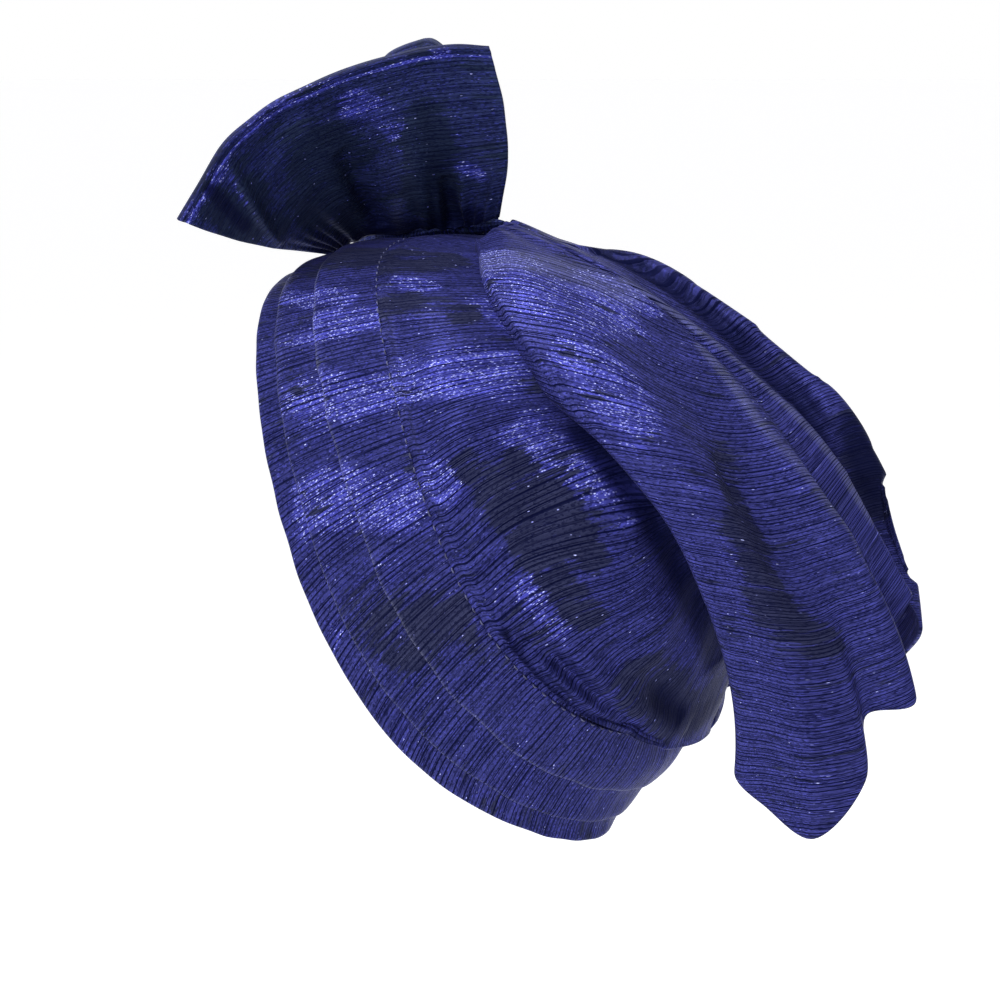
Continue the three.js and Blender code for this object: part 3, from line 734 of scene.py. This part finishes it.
def make_drape():
    u = np.linspace(0, 1, DRAPE_ACROSS)[None, :]
    v = np.linspace(0, 1, DRAPE_ALONG)[:, None]
    sheet = drape_point(u, v)
    normals = -grid_normals(sheet)
    sheet = folded(sheet, normals, "drape")
    sheet = sheet + normals * softness("drape", u, v)[..., None]
    sides = [rolled(sheet, normals, v, first) for first in (True, False)]
    outer = np.concatenate([sides[0], sheet, sides[1]], 1)
    points = closed_grid(outer, outer + grid_normals(outer) * DRAPE_WALL)
    cloth = closed_cloth(drape_stripes(outer, v))
    fields = patch_fields(points, "drape")
    column = np.arange(outer.shape[1])[None, :]
    # Painted sheen along the rolled side edge, down the tail.
    edge = bump(column, DRAPE_ROLL["steps"], DRAPE_SHEEN_LINE["width"])
    edge = edge * rise(DRAPE_SHEEN_LINE["from"], DRAPE_SHEEN_LINE["to"], v)
    fields["edge"] = np.maximum(fields["edge"], both_faces(edge))
    return grid_mesh("drape_cloth", points, cloth, wrap_rows=True, wall_rows=len(outer),
                     fields=fields)


def fan_point(rows, side, u, v):
    u, v = np.broadcast_arrays(np.asarray(u, float), np.asarray(v, float))
    row = u * (len(rows) - 1)

    def at(pick):
        return through([pick(line) for line in rows], row)

    def along(axis):
        return mix(at(lambda line: line["base"][axis]), at(lambda line: line["hem"][axis]), v)

    swell = np.sin(math.pi * np.minimum(1, v * FAN_SWELL["reach"]) ** FAN_SWELL["bias"])
    belly = at(lambda line: line["belly"]) * swell
    arch = np.sin(math.pi * v)
    bulge = FAN_REAR_BULGE["depth"] * rise(FAN_REAR_BULGE["from"], FAN_REAR_BULGE["to"], u) * arch
    x = along(0) + side * belly * FAN_SWELL["outward"]
    y = along(1) + side * belly * FAN_SWELL["back"] + bulge
    return np.stack([x, y, along(2) - at(lambda line: line["sag"]) * arch], -1)


def make_fan(name, rows, side):
    u = np.linspace(0, 1, FAN_ACROSS)[None, :]
    v = np.linspace(0, 1, FAN_ALONG)[:, None]
    sheet = fan_point(rows, side, u, v)
    normals = grid_normals(sheet)
    sheet = folded(sheet, normals * side, name)
    uneven = FAN_GATHERS["uneven"] * np.sin(u * FAN_GATHERS["drift"])
    gathers = FAN_GATHERS["height"] * np.sin(u * FAN_GATHERS["count"] + uneven)
    gathers = gathers * (1 - rise(FAN_GATHERS["from"], FAN_GATHERS["to"], v))
    hem = FAN_HEM["height"] * bump(v, FAN_HEM["place"], FAN_HEM["width"]) * side
    sheet = sheet + normals * (gathers + hem + softness("fan", u, v))[..., None]
    points = closed_grid(sheet, sheet - grid_normals(sheet) * FAN_WALL * side)
    length = run_length(sheet[:, FAN_ACROSS // 2])[:, None] * MM
    width = run_length(sheet[-1])[None, :] * MM
    cloth = closed_cloth(np.stack(np.broadcast_arrays(width, length), -1))
    fields = patch_fields(points, name)
    # Painted glints along the stitched hem, with less painted shade.
    stitched = both_faces(bump(v, FAN_STITCHED["place"], FAN_STITCHED["width"]) + 0 * u)
    fields["glint"] = fields["glint"] + FAN_STITCHED["glint"] * stitched
    fields["shade"] = fields["shade"] + FAN_STITCHED["shade"] * stitched
    # Painted sheen along the top edge of the fan.
    fields["edge"] = both_faces(FAN_SHEEN_LINE["strength"] * bump(v, 1, FAN_SHEEN_LINE["width"]) + 0 * u)
    return grid_mesh(name + "_cloth", points, cloth, wrap_rows=True, wall_rows=FAN_ALONG,
                     fields=fields)


def make_knot():
    k = np.linspace(0, 1, KNOT["steps"])[:, None]
    a = np.linspace(0, TAU, KNOT["sides"], endpoint=False)[None, :]
    radius = KNOT["radius"] * np.sqrt(np.maximum(KNOT["blunt"], 1 - (2 * k - 1) ** 4))
    ridges = np.sin((a + 0 * k) * KNOT["ridges"] + KNOT["twist"] * np.sin(k * KNOT["ridges"]))
    radius = radius * (1 + KNOT["ridge"] * ridges)
    y = mix(KNOT["front"][0], KNOT["back"][0], k) + 0 * a
    z = mix(KNOT["front"][1], KNOT["back"][1], k)
    points = np.stack([KNOT["x"] + radius * np.cos(a), y, z + radius * np.sin(a)], -1)
    run = np.linspace(0, KNOT_CLOTH_LENGTH, KNOT["steps"])[:, None]
    around = np.linspace(0, TAU, KNOT["sides"] + 1)[None, :] * KNOT["radius"] * MM
    cloth = np.stack(np.broadcast_arrays(around, run), -1)
    return grid_mesh("knot_cloth", points, cloth, wrap_cols=True)


def make_stitches():
    """Short rounded stitches along the seam between the rear tier and the crown."""
    count, rings, sides = round(TAU / STITCH["pitch"]), STITCH["rings"], STITCH["sides"]
    t = np.arange(count)[:, None] * TAU / count + np.linspace(0, STITCH["length"], rings)[None, :]
    k = np.linspace(-1, 1, rings)
    place = t * 0 + STITCH["place"]
    offset = STITCH["offset"] - STITCH["sink"] * k**2 - nape_neck(t, STITCH["place"])
    line = off_cap(t, place, offset)
    ahead = unit(np.gradient(line, axis=1))
    outward = unit(line - off_cap(t, place, offset - 1))
    beside = np.cross(ahead, outward)
    a = np.linspace(0, TAU, sides, endpoint=False)[:, None]
    thick = (STITCH["radius"] * np.sqrt(1 - STITCH["taper"] * k**4))[:, None, None]
    ring = beside[:, :, None] * np.cos(a) + outward[:, :, None] * np.sin(a)
    points = line[:, :, None] + ring * thick
    faces = []
    for start in range(0, count * rings * sides, rings * sides):
        last = start + (rings - 1) * sides
        for row in range(start, last, sides):
            for j in range(sides):
                m = (j + 1) % sides
                faces.append((row + j, row + m, row + sides + m, row + sides + j))
        faces.append(tuple(range(start + sides - 1, start - 1, -1)))
        faces.append(tuple(range(last, last + sides)))
    mesh = bpy.data.meshes.new("seam_stitches")
    mesh.from_pydata(to_metres(points).reshape(-1, 3).tolist(), [], faces)
    return smooth_piece(mesh)


# Ribs of the cloth: pitch, how far they wander, how much of a rib its dark line takes, the size
# of the stretches where the line fades, along and across, and the least that is left of it.
RIBS = [
    {"pitch": 0.00165, "wander": 11, "line": (0.45, 0.86), "fade": (0.05, 0.0021), "least": 0.5},
    {"pitch": 0.0013, "wander": 19, "line": (0.66, 0.95), "fade": (0.04, 0.004), "least": 0.1},
]
RIB_FADE = (0.38, 0.56)
SECOND_SHARE = 0.8
# Grains of the cloth: size along and across the ribs in metres, and how finely each breaks up.
GRAINS = {
    "wander": {"size": (0.13, 0.007)},
    "thread": {"size": (0.04, 0.0006), "detail": 1.0},
    "comb": {"size": (1.0, 0.0012), "detail": 1.0},
    "ragged": {"size": (0.009, 0.011), "detail": 3.0, "roughness": 0.6},
    "dim": {"size": (0.03, 0.035)},
    "streak": {"size": (0.025, 0.0022)},
    "gleam": {"size": (0.04, 0.02)},
    "rank": {"size": (0.2, 0.0016), "detail": 1.0},
    "tone": {"size": (0.015, 0.004)},
}
# How far the comb pulls the edge of a patch along the ribs, in metres.
COMB_REACH = 0.03
# Shares of the grains and of the painted field in the painted shade and the painted glint patches, a
# base, and the range of the sum over which a patch begins.
SHADE = {"dim": 1.1, "ragged": 1.5, "field": 0.46, "base": 0.2, "edge": (0.42, 0.52)}
GLINT = {"ragged": 0.9, "field": 0.5, "base": 0.14, "edge": (0.2, 0.66)}
# A metallic dash, its glint painted into the colour: its size along and across, and the chance below
# which it stays dull where the cloth is plain and where it shines.
DASH = {"size": (0.0009, 0.00036), "plain": 0.994, "shining": 0.3}

# Colours of the cloth: its middle, its painted glint patches (bright), its painted shade patches
# (grey), its dark lines and its painted sparkle; then the painted sheen of its folded edges, the
# painted shadow at the bottom of its folds and the painted glint of its brightest dash.
CLOTH = {
    "middle": (0.031, 0.034, 0.155, 1), "bright": (0.06, 0.065, 0.42, 1),
    "grey": (0.022, 0.025, 0.05, 1), "line": (0.001, 0.002, 0.02, 1),
    "sparkle": (0.32, 0.35, 1.0, 1),
}
# A lighter copy of the cloth for the drape, as painted light on its upper folds.
DRAPE_CLOTH_LIT = dict(CLOTH, middle=(0.039, 0.042, 0.185, 1), bright=(0.07, 0.075, 0.45, 1))
# A darker copy of the same cloth for the bow and the knot, as painted shade.
BOW_CLOTH_SHADED = dict(CLOTH, middle=(0.018, 0.025, 0.085, 1), bright=(0.04, 0.046, 0.33, 1),
                 grey=(0.012, 0.019, 0.04, 1), sparkle=(0.2, 0.22, 1.0, 1))
PAINTED_SHEEN_COLOUR = (0.15, 0.16, 0.26, 1)
PAINTED_SHADOW_COLOUR = (0.002, 0.003, 0.02, 1)
FLASH_COLOUR = (0.5, 0.54, 1.0, 1)
THREAD = {"dark": (0.015, 0.017, 0.06, 1), "light": (0.06, 0.065, 0.16, 1), "grain": 900.0}


class Nodes:
    """Short calls that add shader nodes to one material or sky."""

    def __init__(self, material):
        self.tree = material.node_tree

    def put(self, socket, value):
        if isinstance(value, bpy.types.NodeSocket):
            self.tree.links.new(value, socket)
        else:
            socket.default_value = value

    def add(self, kind, inputs=None, **settings):
        node = self.tree.nodes.new(kind)
        for key, value in settings.items():
            setattr(node, key, value)
        for key, value in (inputs or {}).items():
            self.put(node.inputs[key], value)
        return node

    def math(self, operation, a, b=0.0):
        return self.add("ShaderNodeMath", {0: a, 1: b}, operation=operation).outputs[0]

    def times(self, a, b):
        return self.math("MULTIPLY", a, b)

    def plus(self, a, b):
        return self.math("ADD", a, b)

    def less(self, a, b):
        return self.math("SUBTRACT", a, b)

    def spread(self, value, low, high, to_low=0.0, to_high=1.0):
        inputs = {"Value": value, "From Min": low, "From Max": high, "To Min": to_low,
                  "To Max": to_high}
        node = self.add("ShaderNodeMapRange", inputs, interpolation_type="SMOOTHSTEP")
        return node.outputs["Result"]

    def noise(self, vector, scale=1.0, detail=2.0, roughness=0.5):
        inputs = {"Vector": vector, "Scale": scale, "Detail": detail, "Roughness": roughness}
        return self.add("ShaderNodeTexNoise", inputs).outputs["Fac"]

    def blend(self, k, a, b):
        return self.add("ShaderNodeMix", {0: k, 6: a, 7: b}, data_type="RGBA").outputs[2]

    def relief(self, strength, distance, height):
        inputs = {"Strength": strength, "Distance": distance, "Height": height}
        return self.add("ShaderNodeBump", inputs).outputs["Normal"]


class Cloth(Nodes):
    """Shader nodes that read the flat cloth, along and across its ribs."""

    def __init__(self, material):
        super().__init__(material)
        flat = self.add("ShaderNodeUVMap", uv_map="cloth").outputs["UV"]
        split = self.add("ShaderNodeSeparateXYZ", {0: flat})
        self.along, self.across = split.outputs[0], split.outputs[1]

    def cells(self, size, along=None):
        """The place on the cloth, counted in cells of this size."""
        x = self.times(self.along if along is None else along, 1 / size[0])
        y = self.times(self.across, 1 / size[1])
        return self.add("ShaderNodeCombineXYZ", {0: x, 1: y}).outputs[0]

    def grain(self, name, along=None):
        grain = dict(GRAINS[name])
        return self.noise(self.cells(grain.pop("size"), along), **grain)

    def swing(self, name, along=None):
        """The grain about nought."""
        return self.less(self.grain(name, along), 0.5)

    def field(self, name):
        return self.add("ShaderNodeAttribute", attribute_name=name).outputs["Fac"]

    def rib_line(self, ribs):
        """Dark lines between the ribs, which wander, fade and come back."""
        turn = self.times(self.across, TAU / ribs["pitch"])
        phase = self.plus(turn, self.times(self.grain("wander"), ribs["wander"]))
        wave = self.spread(self.math("SINE", phase), *ribs["line"])
        fade = self.spread(self.noise(self.cells(ribs["fade"])), *RIB_FADE, ribs["least"], 1.0)
        return self.times(wave, fade)

    def lines(self):
        first, second = (self.rib_line(ribs) for ribs in RIBS)
        return self.math("MAXIMUM", first, self.times(second, SECOND_SHARE))

    def patches(self, painted_shade_share):
        """How dark and how shining the cloth is, as painted shade and painted glints in patches with
        comb-like edges.
        """
        combed = self.plus(self.along, self.times(self.swing("comb"), COMB_REACH))
        ragged = self.swing("ragged", combed)
        dim = self.times(self.swing("dim", combed), SHADE["dim"])
        shade = self.plus(dim, self.times(ragged, SHADE["ragged"]))
        shade = self.plus(shade, self.swing("streak"))
        shade = self.plus(shade, self.times(self.field("shade"), SHADE["field"]))
        shade = self.spread(self.plus(shade, SHADE["base"] + painted_shade_share), *SHADE["edge"])
        glint = self.plus(self.swing("gleam", combed), self.times(ragged, GLINT["ragged"]))
        glint = self.plus(glint, self.times(self.field("glint"), GLINT["field"]))
        glint = self.spread(self.plus(glint, GLINT["base"] - painted_shade_share), *GLINT["edge"])
        glint = self.times(glint, self.less(1.0, self.times(shade, 0.9)))
        return shade, self.times(glint, self.spread(self.grain("rank"), 0.36, 0.6, 0.35, 1.0))

    def dashes(self, line, glint):
        """Metallic dashes strung along the ribs, whose shine is painted into the colour as glints, and two
        chances that go with each.
        """
        dash = self.add("ShaderNodeTexVoronoi", {"Vector": self.cells(DASH["size"]), "Scale": 1.0})
        chance = self.add("ShaderNodeTexWhiteNoise", {"Vector": dash.outputs["Position"]},
                          noise_dimensions="2D")
        chances = self.add("ShaderNodeSeparateColor", {0: chance.outputs["Color"]})
        strength, flaw = chances.outputs[1], chances.outputs[2]
        seldom = self.spread(glint, 0.0, 1.0, DASH["plain"], DASH["shining"])
        lit = self.math("GREATER_THAN", chance.outputs["Value"], seldom)
        lit = self.times(lit, self.less(1.0, self.times(line, 0.9)))
        lit = self.times(lit, self.spread(dash.outputs["Distance"], 0.6, 0.25))
        lit = self.times(lit, self.spread(self.field("painted_shadow"), 0.9, 0.1))
        return self.times(lit, self.spread(strength, 0.0, 1.0, 0.1, 1.0)), strength, flaw

    def ground(self, look, shade, glint, flaw):
        """Colour of the cloth between its dark lines and its dashes."""
        # Painted reflection: the cloth turns bright blue in the glint patches.
        ground = self.blend(glint, look["middle"], look["bright"])
        # Painted shade: the cloth turns grey in the shade patches.
        ground = self.blend(self.times(shade, 0.85), ground, look["grey"])
        thread = self.spread(self.grain("thread"), 0.45, 0.7, 0.0, 0.3)
        ground = self.blend(thread, ground, look["line"])
        lively = self.times(self.spread(flaw, 0.75, 1.0, 0.0, 0.4), self.spread(shade, 0.9, 0.1))
        ground = self.blend(lively, ground, look["bright"])
        ground = self.blend(self.spread(flaw, 0.5, 0.0, 0.0, 0.7), ground, look["line"])
        tone = self.spread(self.grain("tone"), 0.35, 0.75, 0.0, 0.35)
        ground = self.blend(tone, ground, look["line"])
        # Painted sheen on the folded edges and ridges.
        ground = self.blend(self.times(self.field("edge"), 0.3), ground, PAINTED_SHEEN_COLOUR)
        # Painted shadow deep in the folds and against the parts over them.
        return self.blend(self.times(self.field("painted_shadow"), 0.82), ground, PAINTED_SHADOW_COLOUR)


def cloth_material(name, look, painted_shade_share=0.0, line_strength=0.95):
    material = bpy.data.materials.new(name)
    material.use_nodes = True
    material.node_tree.nodes.clear()
    n = Cloth(material)
    line = n.lines()
    shade, glint = n.patches(painted_shade_share)
    lit, strength, flaw = n.dashes(line, glint)
    ground = n.ground(look, shade, glint, flaw)
    colour = n.blend(n.times(line, line_strength), ground, look["line"])
    # The painted glint of a dash, whitest where it is strongest.
    flash = n.blend(n.spread(strength, 0.55, 1.0), look["sparkle"], FLASH_COLOUR)
    height = n.less(n.times(lit, 0.4), line)
    shader = n.add("ShaderNodeBsdfPrincipled", {
        "Base Color": n.blend(lit, colour, flash),
        "Roughness": n.spread(line, 0.0, 1.0, 0.36, 0.7),
        "Normal": n.relief(0.6, 0.0004, height),
        "Metallic": 0.35, "Specular IOR Level": 0.06, "Specular Tint": (0.5, 0.53, 0.8, 1.0),
        "Sheen Weight": 0.02, "Sheen Roughness": 0.35, "Sheen Tint": (0.75, 0.78, 1.0, 1.0),
    })
    n.add("ShaderNodeOutputMaterial", {"Surface": shader.outputs[0]})
    return material


def thread_material():
    material = bpy.data.materials.new("seam_thread")
    material.use_nodes = True
    n = Nodes(material)
    twist = n.noise(n.add("ShaderNodeTexCoord").outputs["Object"], THREAD["grain"])
    inputs = material.node_tree.nodes["Principled BSDF"].inputs
    colour = n.blend(n.spread(twist, 0.4, 0.6), THREAD["dark"], THREAD["light"])
    n.put(inputs["Base Color"], colour)
    n.put(inputs["Normal"], n.relief(0.4, 0.0002, twist))
    n.put(inputs["Roughness"], 0.6)
    return material


def make_camera():
    azimuth, elevation = math.radians(CAMERA["azimuth"]), math.radians(CAMERA["elevation"])
    back = Vector((math.sin(azimuth) * math.cos(elevation),
                   -math.cos(azimuth) * math.cos(elevation), math.sin(elevation)))
    lens = bpy.data.cameras.new("camera")
    lens.sensor_width = CAMERA["sensor"]
    lens.lens = CAMERA["sensor"] * CAMERA["distance"] / CAMERA["field"]
    lens.clip_start, lens.clip_end = 0.05, 50
    camera = bpy.data.objects.new("camera", lens)
    camera.rotation_mode = "QUATERNION"
    camera.location = Vector(CAMERA["target"]) + back * CAMERA["distance"]
    camera.rotation_quaternion = (-back).to_track_quat("-Z", "Y")
    bpy.context.scene.collection.objects.link(camera)
    bpy.context.scene.camera = camera


def add_light(light):
    lamp = bpy.data.lights.new(light["name"], "AREA")
    lamp.shape = "RECTANGLE"
    lamp.size, lamp.size_y = light["size"]
    lamp.energy = light["power"]
    piece = bpy.data.objects.new(light["name"], lamp)
    piece.location = light["place"]
    piece.rotation_mode = "QUATERNION"
    aim = Vector(LIGHT_AIM) - Vector(light["place"])
    piece.rotation_quaternion = aim.to_track_quat("-Z", "Y")
    bpy.context.scene.collection.objects.link(piece)


def make_stage():
    side, height = FLOOR["half"], FLOOR["height"]
    mesh = bpy.data.meshes.new("floor")
    corners = [(-side, -side), (side, -side), (side, side), (-side, side)]
    mesh.from_pydata([(x, y, height) for x, y in corners], [], [(0, 1, 2, 3)])
    floor = bpy.data.objects.new("floor", mesh)
    bpy.context.scene.collection.objects.link(floor)
    material = bpy.data.materials.new("pale_floor")
    material.use_nodes = True
    inputs = material.node_tree.nodes["Principled BSDF"].inputs
    inputs["Base Color"].default_value = FLOOR["colour"]
    inputs["Roughness"].default_value = FLOOR["roughness"]
    inputs["Emission Color"].default_value = (1, 1, 1, 1)
    inputs["Emission Strength"].default_value = FLOOR["glow"]
    mesh.materials.append(material)


def make_light():
    world = bpy.data.worlds.new("studio")
    world.use_nodes = True
    n = Nodes(world)
    direction = n.add("ShaderNodeTexCoord").outputs["Generated"]
    height = n.add("ShaderNodeSeparateXYZ", {0: direction}).outputs[2]
    sky = world.node_tree.nodes["Background"].inputs
    sky["Color"].default_value = (1.0, 1.0, 1.0, 1)
    n.put(sky["Strength"], n.spread(height, *SKY["heights"], *SKY["strengths"]))
    bpy.context.scene.world = world
    for light in LIGHTS:
        add_light(light)
    bpy.context.scene.view_settings.view_transform = "Standard"


def main():
    make_camera()
    make_stage()
    make_light()
    head = cloth_material("headband_cloth", CLOTH)
    crown_cloth = cloth_material("crown_cloth", CLOTH)
    drape_cloth = cloth_material("drape_cloth", DRAPE_CLOTH_LIT)
    # The bow and the knot take the shaded copy of the cloth, with more painted shade.
    bow_cloth = cloth_material("bow_cloth", BOW_CLOTH_SHADED, painted_shade_share=0.1, line_strength=0.55)
    for tier in TIERS:
        add_detail(make_tier(tier), tier["name"], head)
    add_detail(make_crown(), "crown", crown_cloth)
    add_detail(make_drape(), "drape", drape_cloth)
    left = make_fan("bow_left", FAN_LEFT, 1)
    add_detail(left, "bow_left", bow_cloth)
    right = make_fan("bow_right", FAN_RIGHT, -1)
    add_detail(right, "bow_right", bow_cloth)
    add_detail(make_knot(), "knot", bow_cloth)
    add_detail(make_stitches(), None, thread_material())


main()
